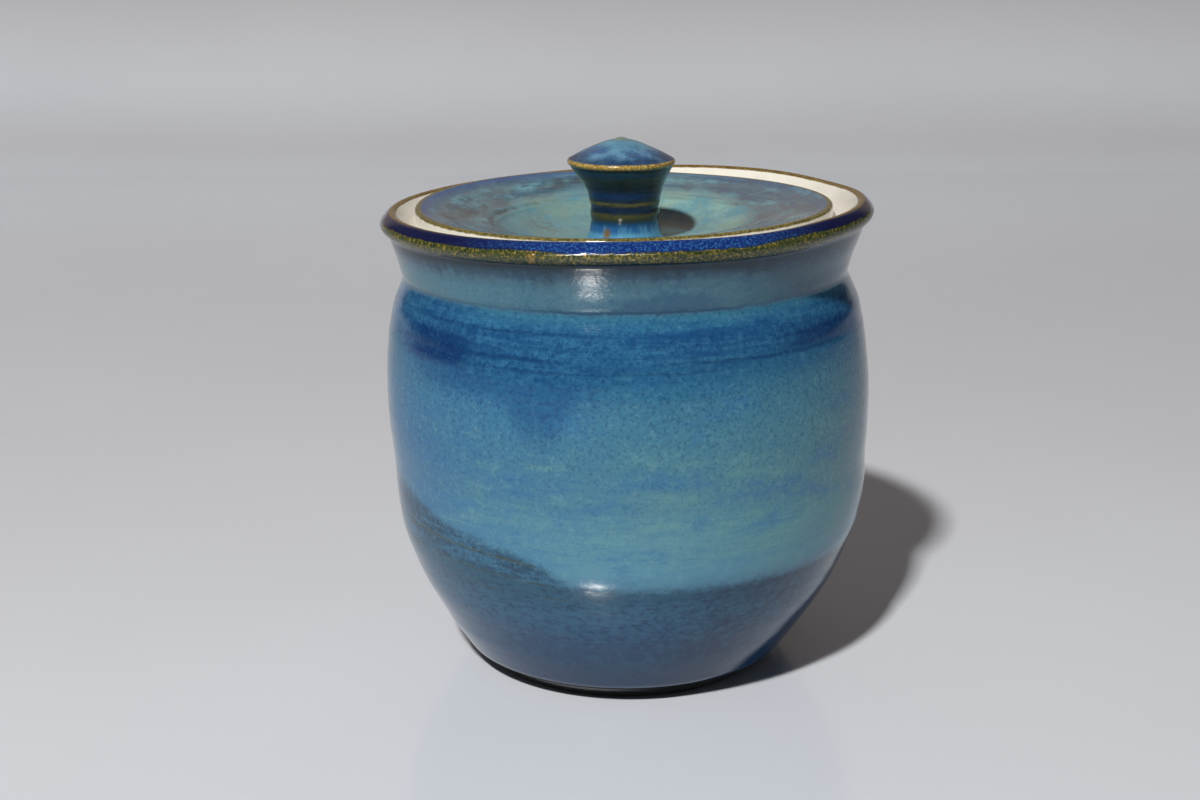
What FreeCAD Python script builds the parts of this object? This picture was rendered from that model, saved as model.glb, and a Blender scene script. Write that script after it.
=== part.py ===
import FreeCAD, Part
import math
import os

import Sketcher

# A hand-thrown stoneware jar with a drop-in lid: a barrel-shaped body with a
# waisted collar and a rolled lip, a saucer-shaped lid that rests on a gallery
# ledge inside the collar, and a mushroom knob luted to the middle of the lid.
# Millimetres. The origin is the middle of the foot, on the surface the jar
# stands on, and +Z is the axis of the pot.

V = FreeCAD.Vector
doc = FreeCAD.newDocument("LiddedJar")

# ---------------------------------------------------------------- sizes
# name, value, what it is. Radii are from the axis; heights of the body are from
# the surface, those of the lid from its underside, those of the knob from its foot.
SIZES = [
    # foot and floor of the body
    ("foot_outer", 38.6, "outer radius of the turned foot ring, where it stands"),
    ("foot_inner", 30.4, "inner radius of the foot ring on the surface"),
    ("recess_outer", 28.8, "radius of the flat recess inside the foot ring"),
    ("recess_height", 2.6, "height of the recess above the surface"),
    ("base_radius", 42.8, "radius of the lower edge of the wall"),
    ("base_height", 4.2, "height of the lower edge of the wall"),
    ("floor_height", 7.6, "height of the inside floor"),
    ("floor_radius", 30.0, "radius where the floor starts to curve up"),
    # poles of the outer wall, bottom to waist
    ("wall_ra", 44.3, "outer wall pole radius a"),
    ("wall_za", 5.1, "outer wall pole height a"),
    ("wall_rb", 53.2, "outer wall pole radius b"),
    ("wall_zb", 17.1, "outer wall pole height b"),
    ("wall_rc", 62.9, "outer wall pole radius c"),
    ("wall_zc", 33.4, "outer wall pole height c"),
    ("wall_rd", 64.6, "outer wall pole radius d"),
    ("wall_zd", 57.7, "outer wall pole height d"),
    ("wall_re", 66.4, "outer wall pole radius e"),
    ("wall_ze", 81.7, "outer wall pole height e"),
    ("wall_rf", 62.6, "outer wall pole radius f"),
    ("wall_zf", 103.4, "outer wall pole height f"),
    ("waist_radius", 59.7, "outer radius of the waist under the collar"),
    ("waist_lower", 106.2, "height of the last pole under the waist"),
    ("waist_height", 107.3, "height of the waist"),
    # poles of the inner wall, floor to neck
    ("bore_ra", 37.7, "inner wall pole radius a"),
    ("bore_rb", 47.4, "inner wall pole radius b"),
    ("bore_zb", 20.1, "inner wall pole height b"),
    ("bore_rc", 58.7, "inner wall pole radius c"),
    ("bore_zc", 40.8, "inner wall pole height c"),
    ("bore_rd", 60.5, "inner wall pole radius d"),
    ("bore_zd", 68.2, "inner wall pole height d"),
    ("bore_re", 60.9, "inner wall pole radius e"),
    ("bore_ze", 91.0, "inner wall pole height e"),
    ("neck_bore", 55.0, "inner radius of the neck"),
    ("neck_lower", 105.2, "height of the last pole under the neck"),
    ("neck_height", 109.5, "height where the neck turns into the ledge"),
    # collar, lip and gallery
    ("lip_center_r", 62.6, "radius of the centre of the lip bead"),
    ("lip_center_z", 123.2, "height of the centre of the lip bead"),
    ("lip_bead", 2.75, "radius of the lip bead"),
    ("collar_top", 120.7, "height where the collar meets the lip bead"),
    ("gallery_outer", 57.5, "radius of the foot of the gallery wall"),
    ("gallery_height", 121.4, "height of the gallery ledge, where the lid rests"),
    ("mouth_radius", 50.5, "radius of the mouth inside the ledge"),
    ("ledge_under", 118.0, "height of the underside of the ledge at the mouth"),
    # lid
    ("lid_radius", 55.5, "outer radius of the lid"),
    ("lid_edge", 15.3, "height of the top edge of the lid"),
    ("lid_seat", 11.2, "height of the flat seat under the flange"),
    ("lid_locator", 49.7, "radius of the step that keeps the lid centred"),
    ("lid_locator_z", 8.7, "height of the bottom of that step"),
    ("dish_radius", 35.5, "radius of the throwing ring where the dish starts"),
    ("dish_height", 11.3, "height of that ring"),
    ("dish_ra", 31.2, "dish pole radius a"),
    ("dish_za", 8.8, "dish pole height a"),
    ("dish_rb", 25.0, "dish pole radius b"),
    ("dish_zb", 5.2, "dish pole height b"),
    ("dish_rc", 17.0, "dish pole radius c"),
    ("boss_radius", 11.6, "radius of the flat seat of the knob"),
    ("boss_height", 4.8, "height of the flat seat of the knob"),
    ("under_radius", 11.0, "radius of the flat middle of the underside"),
    ("under_ra", 17.2, "underside pole radius a"),
    ("under_rb", 28.3, "underside pole radius b"),
    ("under_zb", 4.6, "underside pole height b"),
    ("under_rc", 40.0, "underside pole radius c"),
    ("under_zc", 7.7, "underside pole height c"),
    ("under_rd", 46.0, "underside pole radius d"),
    ("under_zd", 8.2, "underside pole height d"),
    # knob
    ("stem_ra", 9.8, "stem pole radius a"),
    ("stem_za", 0.9, "stem pole height a"),
    ("stem_rb", 8.8, "stem pole radius b"),
    ("stem_zb", 4.6, "stem pole height b"),
    ("stem_rc", 8.9, "stem pole radius c"),
    ("stem_zc", 9.9, "stem pole height c"),
    ("stem_rd", 10.1, "stem pole radius d"),
    ("stem_zd", 15.4, "stem pole height d"),
    ("stem_re", 12.5, "stem pole radius e"),
    ("stem_ze", 18.7, "stem pole height e"),
    ("cap_under_r", 13.8, "radius of the lower edge of the cap"),
    ("cap_under_z", 20.5, "height of the lower edge of the cap"),
    ("cap_center_r", 13.1, "radius of the centre of the cap edge bead"),
    ("cap_center_z", 21.55, "height of the centre of the cap edge bead"),
    ("cap_edge_z", 22.5, "height where the bead meets the dome"),
    ("dome_bow", 24.0, "radius of curvature of the dome"),
    ("tip_radius", 4.0, "radius of the throwing tip on the dome"),
    ("knob_height", 28.2, "height of the knob over its foot"),
    # edges softened by turning and glaze
    ("foot_round", 0.8, "rounding of the foot ring"),
    ("base_round", 1.3, "rounding of the lower edge of the wall"),
    ("ledge_round", 0.8, "rounding of the ledge at the mouth"),
    ("gallery_round", 1.0, "rounding at the foot of the gallery wall"),
    ("lid_round", 1.1, "rounding of the top edge of the lid"),
    ("lid_under_round", 0.6, "rounding of the lower edge of the lid"),
]

sheet = doc.addObject("Spreadsheet::Sheet", "Sizes")
sheet.set("A1", "name")
sheet.set("B1", "millimetres")
sheet.set("C1", "what it is")
for row, (alias, value, note) in enumerate(SIZES, start=2):
    sheet.set("A%d" % row, alias)
    sheet.set("B%d" % row, "%g" % value)
    sheet.setAlias("B%d" % row, alias)
    sheet.set("C%d" % row, note)
doc.recompute()


def size(alias):
    return float(getattr(sheet, alias))


# ---------------------------------------------------------------- helpers
def new_body(name):
    body = doc.addObject("PartDesign::Body", name)
    body.Label = name
    return body


def half_profile(body, name):
    """A sketch on the body's XZ plane: x is the radius, y is the height."""
    sketch = body.newObject("Sketcher::SketchObject", name)
    plane = [o for o in body.Origin.OriginFeatures if o.Role == "XZ_Plane"][0]
    sketch.AttachmentSupport = (plane, [""])
    sketch.MapMode = "FlatFace"
    return sketch


def bind(sketch, index, name, expression):
    sketch.renameConstraint(index, name)
    sketch.setExpression("Constraints." + name, expression)


def place(sketch, geo, pos, name, r_alias, z_alias):
    """Holds a point at a radius and a height from the sheet; None leaves one free."""
    if r_alias == "axis":
        sketch.addConstraint(Sketcher.Constraint("PointOnObject", geo, pos, -2))
    elif r_alias:
        i = sketch.addConstraint(
            Sketcher.Constraint("DistanceX", -1, 1, geo, pos, size(r_alias))
        )
        bind(sketch, i, name + "_r", "Sizes." + r_alias)
    if z_alias == "ground":
        sketch.addConstraint(Sketcher.Constraint("PointOnObject", geo, pos, -1))
    elif z_alias:
        i = sketch.addConstraint(
            Sketcher.Constraint("DistanceY", -1, 1, geo, pos, size(z_alias))
        )
        bind(sketch, i, name + "_z", "Sizes." + z_alias)


def join(sketch, geo_a, pos_a, geo_b, pos_b):
    sketch.addConstraint(Sketcher.Constraint("Coincident", geo_a, pos_a, geo_b, pos_b))


def line(sketch, a, b):
    return sketch.addGeometry(Part.LineSegment(V(a[0], a[1], 0), V(b[0], b[1], 0)), False)


def arc(sketch, center, a, b):
    """An arc from a to b, counter-clockwise about its centre."""
    radius = math.hypot(a[0] - center[0], a[1] - center[1])
    start = math.atan2(a[1] - center[1], a[0] - center[0])
    end = math.atan2(b[1] - center[1], b[0] - center[0])
    if end < start:
        end += 2 * math.pi
    circle = Part.Circle(V(center[0], center[1], 0), V(0, 0, 1), radius)
    return sketch.addGeometry(Part.ArcOfCircle(circle, start, end), False)


def spline(sketch, name, poles, knots):
    """A cubic spline whose poles are dimensioned from the sheet."""
    points = [V(size(r) if r else 0, size(z) if z != "ground" else 0, 0) for r, z in poles]
    curve = Part.BSplineCurve()
    inner = [1] * len(knots)
    curve.buildFromPolesMultsKnots(points, [4] + inner + [4], [0.0] + knots + [1.0], False, 3)
    geo = sketch.addGeometry(curve, False)
    before = sketch.GeometryCount
    sketch.exposeInternalGeometry(geo)
    for k, (r, z) in enumerate(poles):
        place(sketch, before + k, 3, "%s_%d" % (name, k), r, z)
    return geo


def revolve(body, sketch, name):
    turn = body.newObject("PartDesign::Revolution", name)
    turn.Profile = sketch
    turn.ReferenceAxis = (sketch, ["V_Axis"])
    turn.Angle = 360.0
    sketch.Visibility = False
    doc.recompute()
    return turn


def ring_edges(feature, rings):
    """Names of the circular edges of a feature at the given radii and heights."""
    found = []
    for r, z in rings:
        for index, edge in enumerate(feature.Shape.Edges, start=1):
            curve = edge.Curve
            if not isinstance(curve, Part.Circle):
                continue
            if abs(curve.Radius - r) < 0.02 and abs(curve.Center.z - z) < 0.02:
                found.append("Edge%d" % index)
                break
        else:
            raise RuntimeError("%s has no ring at r %.2f z %.2f" % (feature.Label, r, z))
    return found


def fillet(body, name, base, rings, alias):
    feature = body.newObject("PartDesign::Fillet", name)
    feature.Base = (base, ring_edges(base, rings))
    feature.setExpression("Radius", "Sizes." + alias)
    doc.recompute()
    return feature


# ---------------------------------------------------------------- body of the jar
jar_body = new_body("jar_body")
sk = half_profile(jar_body, "jar_profile")

lip_c = (size("lip_center_r"), size("lip_center_z"))
lip_r = size("lip_bead")
collar_end = (
    lip_c[0] + math.sqrt(lip_r**2 - (lip_c[1] - size("collar_top")) ** 2),
    size("collar_top"),
)
gallery_foot = (size("gallery_outer"), size("gallery_height"))
# where a line from the foot of the gallery wall touches the lip bead
away = math.hypot(lip_c[0] - gallery_foot[0], lip_c[1] - gallery_foot[1])
slope = math.atan2(lip_c[1] - gallery_foot[1], lip_c[0] - gallery_foot[0]) + math.asin(lip_r / away)
reach = math.sqrt(away**2 - lip_r**2)
lip_end = (gallery_foot[0] + reach * math.cos(slope), gallery_foot[1] + reach * math.sin(slope))
waist = (size("waist_radius"), size("waist_height"))
dx, dz = collar_end[0] - waist[0], collar_end[1] - waist[1]
collar_bow = (dx * dx + dz * dz) / (2 * dx)
collar_c = (waist[0] + collar_bow, waist[1])

underside = line(sk, (0, size("recess_height")), (size("recess_outer"), size("recess_height")))
recess_wall = line(
    sk, (size("recess_outer"), size("recess_height")), (size("foot_inner"), 0)
)
foot = line(sk, (size("foot_inner"), 0), (size("foot_outer"), 0))
bevel = line(sk, (size("foot_outer"), 0), (size("base_radius"), size("base_height")))
outer = spline(
    sk,
    "outer",
    [
        ("base_radius", "base_height"),
        ("wall_ra", "wall_za"),
        ("wall_rb", "wall_zb"),
        ("wall_rc", "wall_zc"),
        ("wall_rd", "wall_zd"),
        ("wall_re", "wall_ze"),
        ("wall_rf", "wall_zf"),
        ("waist_radius", "waist_lower"),
        ("waist_radius", "waist_height"),
    ],
    [0.04, 0.41, 0.50, 0.71, 0.97],
)
# the collar bows inwards, so its arc runs clockwise from the waist up
collar = arc(sk, collar_c, collar_end, waist)
lip = arc(sk, lip_c, collar_end, lip_end)
gallery_wall = line(sk, lip_end, gallery_foot)
ledge = line(sk, gallery_foot, (size("mouth_radius"), size("gallery_height")))
mouth = line(
    sk,
    (size("mouth_radius"), size("gallery_height")),
    (size("mouth_radius"), size("ledge_under")),
)
ledge_slope = line(
    sk, (size("mouth_radius"), size("ledge_under")), (size("neck_bore"), size("neck_height"))
)
bore = spline(
    sk,
    "bore",
    [
        ("floor_radius", "floor_height"),
        ("bore_ra", "floor_height"),
        ("bore_rb", "bore_zb"),
        ("bore_rc", "bore_zc"),
        ("bore_rd", "bore_zd"),
        ("bore_re", "bore_ze"),
        ("neck_bore", "neck_lower"),
        ("neck_bore", "neck_height"),
    ],
    [0.18, 0.40, 0.61, 0.89],
)
floor = line(sk, (size("floor_radius"), size("floor_height")), (0, size("floor_height")))
axis = line(sk, (0, size("floor_height")), (0, size("recess_height")))

place(sk, underside, 1, "recess_middle", "axis", "recess_height")
place(sk, underside, 2, "recess_corner", "recess_outer", "recess_height")
join(sk, underside, 2, recess_wall, 1)
place(sk, recess_wall, 2, "foot_inside", "foot_inner", "ground")
join(sk, recess_wall, 2, foot, 1)
place(sk, foot, 2, "foot_outside", "foot_outer", "ground")
join(sk, foot, 2, bevel, 1)
join(sk, bevel, 2, outer, 1)
join(sk, outer, 2, collar, 2)
place(sk, collar, 3, "collar_middle", None, "waist_height")
join(sk, collar, 1, lip, 1)
place(sk, collar, 1, "collar_end", None, "collar_top")
place(sk, lip, 3, "lip_middle", "lip_center_r", "lip_center_z")
i = sk.addConstraint(Sketcher.Constraint("Radius", lip, lip_r))
bind(sk, i, "lip_bead", "Sizes.lip_bead")
sk.addConstraint(Sketcher.Constraint("Tangent", lip, 2, gallery_wall, 1))
place(sk, gallery_wall, 2, "gallery_foot", "gallery_outer", "gallery_height")
join(sk, gallery_wall, 2, ledge, 1)
place(sk, ledge, 2, "mouth_top", "mouth_radius", "gallery_height")
join(sk, ledge, 2, mouth, 1)
place(sk, mouth, 2, "mouth_bottom", "mouth_radius", "ledge_under")
join(sk, mouth, 2, ledge_slope, 1)
join(sk, ledge_slope, 2, bore, 2)
join(sk, bore, 1, floor, 1)
place(sk, floor, 2, "floor_middle", "axis", "floor_height")
join(sk, floor, 2, axis, 1)
join(sk, axis, 2, underside, 1)
doc.recompute()

turned = revolve(jar_body, sk, "thrown_wall")
step = fillet(
    jar_body,
    "foot_edges",
    turned,
    [(size("foot_inner"), 0), (size("foot_outer"), 0)],
    "foot_round",
)
step = fillet(
    jar_body, "wall_edge", step, [(size("base_radius"), size("base_height"))], "base_round"
)
step = fillet(
    jar_body,
    "ledge_edges",
    step,
    [
        (size("mouth_radius"), size("gallery_height")),
        (size("mouth_radius"), size("ledge_under")),
    ],
    "ledge_round",
)
step = fillet(
    jar_body,
    "gallery_corner",
    step,
    [(size("gallery_outer"), size("gallery_height"))],
    "gallery_round",
)
jar_body.Tip = step

# ---------------------------------------------------------------- lid
lid = new_body("lid")
sk = half_profile(lid, "lid_profile")
lid_bottom = line(sk, (0, 0), (size("under_radius"), 0))
under = spline(
    sk,
    "under",
    [
        ("under_radius", "ground"),
        ("under_ra", "ground"),
        ("under_rb", "under_zb"),
        ("under_rc", "under_zc"),
        ("under_rd", "under_zd"),
    ],
    [0.5],
)
step_foot = line(
    sk, (size("under_rd"), size("under_zd")), (size("lid_locator"), size("lid_locator_z"))
)
step_wall = line(
    sk, (size("lid_locator"), size("lid_locator_z")), (size("lid_locator"), size("lid_seat"))
)
seat = line(sk, (size("lid_locator"), size("lid_seat")), (size("lid_radius"), size("lid_seat")))
edge = line(sk, (size("lid_radius"), size("lid_seat")), (size("lid_radius"), size("lid_edge")))
flange = line(
    sk, (size("lid_radius"), size("lid_edge")), (size("dish_radius"), size("dish_height"))
)
dish = spline(
    sk,
    "dish",
    [
        ("dish_radius", "dish_height"),
        ("dish_ra", "dish_za"),
        ("dish_rb", "dish_zb"),
        ("dish_rc", "boss_height"),
        ("boss_radius", "boss_height"),
    ],
    [0.5],
)
boss = line(sk, (size("boss_radius"), size("boss_height")), (0, size("boss_height")))
axis = line(sk, (0, size("boss_height")), (0, 0))

sk.addConstraint(Sketcher.Constraint("Coincident", lid_bottom, 1, -1, 1))
join(sk, lid_bottom, 2, under, 1)
join(sk, under, 2, step_foot, 1)
place(sk, step_foot, 2, "step_corner", "lid_locator", "lid_locator_z")
join(sk, step_foot, 2, step_wall, 1)
place(sk, step_wall, 2, "seat_inside", "lid_locator", "lid_seat")
join(sk, step_wall, 2, seat, 1)
place(sk, seat, 2, "seat_outside", "lid_radius", "lid_seat")
join(sk, seat, 2, edge, 1)
place(sk, edge, 2, "edge_top", "lid_radius", "lid_edge")
join(sk, edge, 2, flange, 1)
join(sk, flange, 2, dish, 1)
join(sk, dish, 2, boss, 1)
place(sk, boss, 2, "boss_middle", "axis", "boss_height")
join(sk, boss, 2, axis, 1)
join(sk, axis, 2, lid_bottom, 1)
doc.recompute()

turned = revolve(lid, sk, "thrown_lid")
step = fillet(
    lid, "lid_top_edge", turned, [(size("lid_radius"), size("lid_edge"))], "lid_round"
)
step = fillet(
    lid,
    "lid_lower_edges",
    step,
    [
        (size("lid_radius"), size("lid_seat")),
        (size("lid_locator"), size("lid_locator_z")),
    ],
    "lid_under_round",
)
lid.Tip = step
# the seat of the lid stands on the ledge
lid.setExpression(".Placement.Base.z", "Sizes.gallery_height - Sizes.lid_seat")

# ---------------------------------------------------------------- knob
knob = new_body("lid_knob")
sk = half_profile(knob, "knob_profile")
cap_c = (size("cap_center_r"), size("cap_center_z"))
cap_r = math.hypot(size("cap_under_r") - cap_c[0], size("cap_under_z") - cap_c[1])
cap_end = (
    cap_c[0] + math.sqrt(cap_r**2 - (size("cap_edge_z") - cap_c[1]) ** 2),
    size("cap_edge_z"),
)
dome_z = cap_end[1] - math.sqrt(size("dome_bow") ** 2 - cap_end[0] ** 2)
tip_start = (
    size("tip_radius"),
    dome_z + math.sqrt(size("dome_bow") ** 2 - size("tip_radius") ** 2),
)
rise = size("knob_height") - tip_start[1]
tip_bow = (tip_start[0] ** 2 + rise**2) / (2 * rise)

knob_foot = line(sk, (0, 0), (size("boss_radius"), 0))
stem = spline(
    sk,
    "stem",
    [
        ("boss_radius", "ground"),
        ("stem_ra", "stem_za"),
        ("stem_rb", "stem_zb"),
        ("stem_rc", "stem_zc"),
        ("stem_rd", "stem_zd"),
        ("stem_re", "stem_ze"),
        ("cap_under_r", "cap_under_z"),
    ],
    [0.25, 0.5, 0.75],
)
cap_edge = arc(sk, cap_c, (size("cap_under_r"), size("cap_under_z")), cap_end)
dome = arc(sk, (0, dome_z), cap_end, tip_start)
tip = arc(sk, (0, size("knob_height") - tip_bow), tip_start, (0, size("knob_height")))
axis = line(sk, (0, size("knob_height")), (0, 0))

sk.addConstraint(Sketcher.Constraint("Coincident", knob_foot, 1, -1, 1))
join(sk, knob_foot, 2, stem, 1)
join(sk, stem, 2, cap_edge, 1)
place(sk, cap_edge, 3, "cap_middle", "cap_center_r", "cap_center_z")
place(sk, cap_edge, 2, "cap_end", None, "cap_edge_z")
join(sk, cap_edge, 2, dome, 1)
place(sk, dome, 3, "dome_middle", "axis", None)
i = sk.addConstraint(Sketcher.Constraint("Radius", dome, size("dome_bow")))
bind(sk, i, "dome_bow", "Sizes.dome_bow")
place(sk, dome, 2, "tip_start", "tip_radius", None)
join(sk, dome, 2, tip, 1)
place(sk, tip, 3, "tip_middle", "axis", None)
place(sk, tip, 2, "tip_top", "axis", "knob_height")
join(sk, tip, 2, axis, 1)
join(sk, axis, 2, knob_foot, 1)
doc.recompute()

turned = revolve(knob, sk, "thrown_knob")
knob.Tip = turned
# the foot of the knob is luted to the flat seat in the middle of the dish
knob.setExpression(
    ".Placement.Base.z", "Sizes.gallery_height - Sizes.lid_seat + Sizes.boss_height"
)
doc.recompute()

# ---------------------------------------------------------------- checks and output
for obj in doc.Objects:
    bad = [s for s in obj.State if s in ("Invalid", "Error")]
    if bad:
        raise RuntimeError("%s is %s" % (obj.Label, bad))
for obj in doc.Objects:
    if obj.TypeId == "Sketcher::SketchObject":
        state = obj.solve()
        print("%-14s solve %d, fully constrained %s" % (obj.Label, state, obj.FullyConstrained))
        if state != 0:
            raise RuntimeError("%s does not solve" % obj.Label)

bodies = [jar_body, lid, knob]
for body in bodies:
    shape = body.Shape
    if shape.isNull() or not shape.isValid() or len(shape.Solids) != 1:
        raise RuntimeError("%s is not one valid solid" % body.Label)

os.makedirs("parts", exist_ok=True)
for body in bodies:
    shape = body.Shape
    box = shape.BoundBox
    print(
        "%-10s volume %.1f cm3, r %.2f, z %.2f to %.2f"
        % (body.Label, shape.Volume / 1000.0, box.XMax, box.ZMin, box.ZMax)
    )
    shape.exportStep("parts/%s.step" % body.Label)
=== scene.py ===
"""A hand-thrown lidded stoneware jar: body, drop-in lid and knob as glazed, slightly uneven thrown forms.

Lengths below are in millimetres until a mesh is made, where they become metres.
h is the height on the true, level pot. Angles are measured from the side that faces the viewer (-Y),
positive towards +X.
"""
import math

import bpy
import numpy as np
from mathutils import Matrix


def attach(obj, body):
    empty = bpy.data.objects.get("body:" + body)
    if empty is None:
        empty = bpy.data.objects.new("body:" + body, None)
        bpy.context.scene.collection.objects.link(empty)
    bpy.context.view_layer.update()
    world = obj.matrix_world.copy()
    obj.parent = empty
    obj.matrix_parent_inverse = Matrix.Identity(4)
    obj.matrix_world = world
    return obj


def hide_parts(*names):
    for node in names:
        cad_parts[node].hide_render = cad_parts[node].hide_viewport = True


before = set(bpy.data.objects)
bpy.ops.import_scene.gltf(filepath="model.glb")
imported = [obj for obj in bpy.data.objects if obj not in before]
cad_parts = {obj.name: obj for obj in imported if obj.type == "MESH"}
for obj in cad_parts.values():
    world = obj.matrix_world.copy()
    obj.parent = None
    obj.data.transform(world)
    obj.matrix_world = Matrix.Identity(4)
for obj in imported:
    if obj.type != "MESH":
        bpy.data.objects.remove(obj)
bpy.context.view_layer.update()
scene = bpy.context.scene
MM = 0.001

# ---------------------------------------------------------------- curves


def spline(poles, inner, n, deg=3):
    """n points on a clamped B-spline."""
    poles = np.array(poles, float)
    knots = np.array([0.0] * (deg + 1) + list(inner) + [1.0] * (deg + 1))
    out = []
    for t in np.linspace(0, 1, n):
        k = min(max(int(np.searchsorted(knots, t, side="right")) - 1, deg), len(poles) - 1)
        d = [poles[j + k - deg].copy() for j in range(deg + 1)]
        for r in range(1, deg + 1):
            for j in range(deg, r - 1, -1):
                lo = knots[j + k - deg]
                hi = knots[j + 1 + k - r]
                a = 0.0 if hi == lo else (t - lo) / (hi - lo)
                d[j] = (1 - a) * d[j - 1] + a * d[j]
        out.append(tuple(d[deg]))
    return out


def natural(xs, ys):
    """A natural cubic through the points, as a function."""
    xs, ys = np.array(xs, float), np.array(ys, float)
    n = len(xs)
    h = np.diff(xs)
    a = np.zeros((n, n))
    b = np.zeros(n)
    a[0, 0] = a[-1, -1] = 1
    for i in range(1, n - 1):
        a[i, i - 1], a[i, i], a[i, i + 1] = h[i - 1], 2 * (h[i - 1] + h[i]), h[i]
        b[i] = 6 * ((ys[i + 1] - ys[i]) / h[i] - (ys[i] - ys[i - 1]) / h[i - 1])
    m = np.linalg.solve(a, b)

    def f(x):
        x = np.clip(np.asarray(x, float), xs[0], xs[-1])
        i = np.clip(np.searchsorted(xs, x) - 1, 0, n - 2)
        d, u = h[i], x - xs[i]
        w = xs[i + 1] - x
        return (m[i] * w ** 3 + m[i + 1] * u ** 3) / (6 * d) + (ys[i] / d - m[i] * d / 6) * w + (ys[i + 1] / d - m[i + 1] * d / 6) * u
    return f


def through(pts, per=6):
    """A centripetal Catmull-Rom curve through the points."""
    p = [np.array(q, float) for q in pts]
    p = [2 * p[0] - p[1]] + p + [2 * p[-1] - p[-2]]
    out = []
    for i in range(1, len(p) - 2):
        t = [0.0]
        for a, b in ((i - 1, i), (i, i + 1), (i + 1, i + 2)):
            t.append(t[-1] + max(np.linalg.norm(p[b] - p[a]), 1e-6) ** 0.5)
        for u in np.linspace(t[1], t[2], per, endpoint=False):
            a1 = (t[1] - u) / (t[1] - t[0]) * p[i - 1] + (u - t[0]) / (t[1] - t[0]) * p[i]
            a2 = (t[2] - u) / (t[2] - t[1]) * p[i] + (u - t[1]) / (t[2] - t[1]) * p[i + 1]
            a3 = (t[3] - u) / (t[3] - t[2]) * p[i + 1] + (u - t[2]) / (t[3] - t[2]) * p[i + 2]
            b1 = (t[2] - u) / (t[2] - t[0]) * a1 + (u - t[0]) / (t[2] - t[0]) * a2
            b2 = (t[3] - u) / (t[3] - t[1]) * a2 + (u - t[1]) / (t[3] - t[1]) * a3
            out.append(tuple((t[2] - u) / (t[2] - t[1]) * b1 + (u - t[1]) / (t[2] - t[1]) * b2))
    out.append(tuple(p[-2]))
    return out


def rounded(pts, radii, seg=6):
    """A polyline whose inner corners are rounded by arcs of the given radii."""
    out = [tuple(pts[0])]
    for i in range(1, len(pts) - 1):
        r = radii[i - 1]
        p, a, b = (np.array(pts[k], float) for k in (i, i - 1, i + 1))
        u, v = (a - p) / np.linalg.norm(a - p), (b - p) / np.linalg.norm(b - p)
        ang = math.acos(max(-1, min(1, float(u @ v))))
        if r <= 0 or abs(ang - math.pi) < 1e-3:
            out.append(tuple(p))
            continue
        t = r / math.tan(ang / 2)
        c = p + (u + v) / np.linalg.norm(u + v) * r / math.sin(ang / 2)
        s, e = p + u * t, p + v * t
        a0, a1 = math.atan2(*(s - c)[::-1]), math.atan2(*(e - c)[::-1])
        d = (a1 - a0 + math.pi) % (2 * math.pi) - math.pi
        out += [(c[0] + r * math.cos(a0 + d * k / seg), c[1] + r * math.sin(a0 + d * k / seg)) for k in range(seg + 1)]
    out.append(tuple(pts[-1]))
    return out


def resample(pts, step):
    """The same line with points about step apart, both ends kept."""
    p = np.array(pts, float)
    keep = np.r_[True, np.linalg.norm(np.diff(p, axis=0), axis=1) > 1e-7]
    p = p[keep]
    s = np.r_[0, np.cumsum(np.linalg.norm(np.diff(p, axis=0), axis=1))]
    n = max(int(math.ceil(s[-1] / step)), 1)
    u = np.linspace(0, s[-1], n + 1)
    return np.c_[np.interp(u, s, p[:, 0]), np.interp(u, s, p[:, 1])]


def smooth01(x, a, b):
    t = np.clip((np.asarray(x, float) - a) / (b - a), 0, 1)
    return t * t * (3 - 2 * t)


def bell(x, c, w):
    return np.exp(-((np.asarray(x, float) - c) / w) ** 2)


# ---------------------------------------------------------------- thrown meshes


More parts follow.
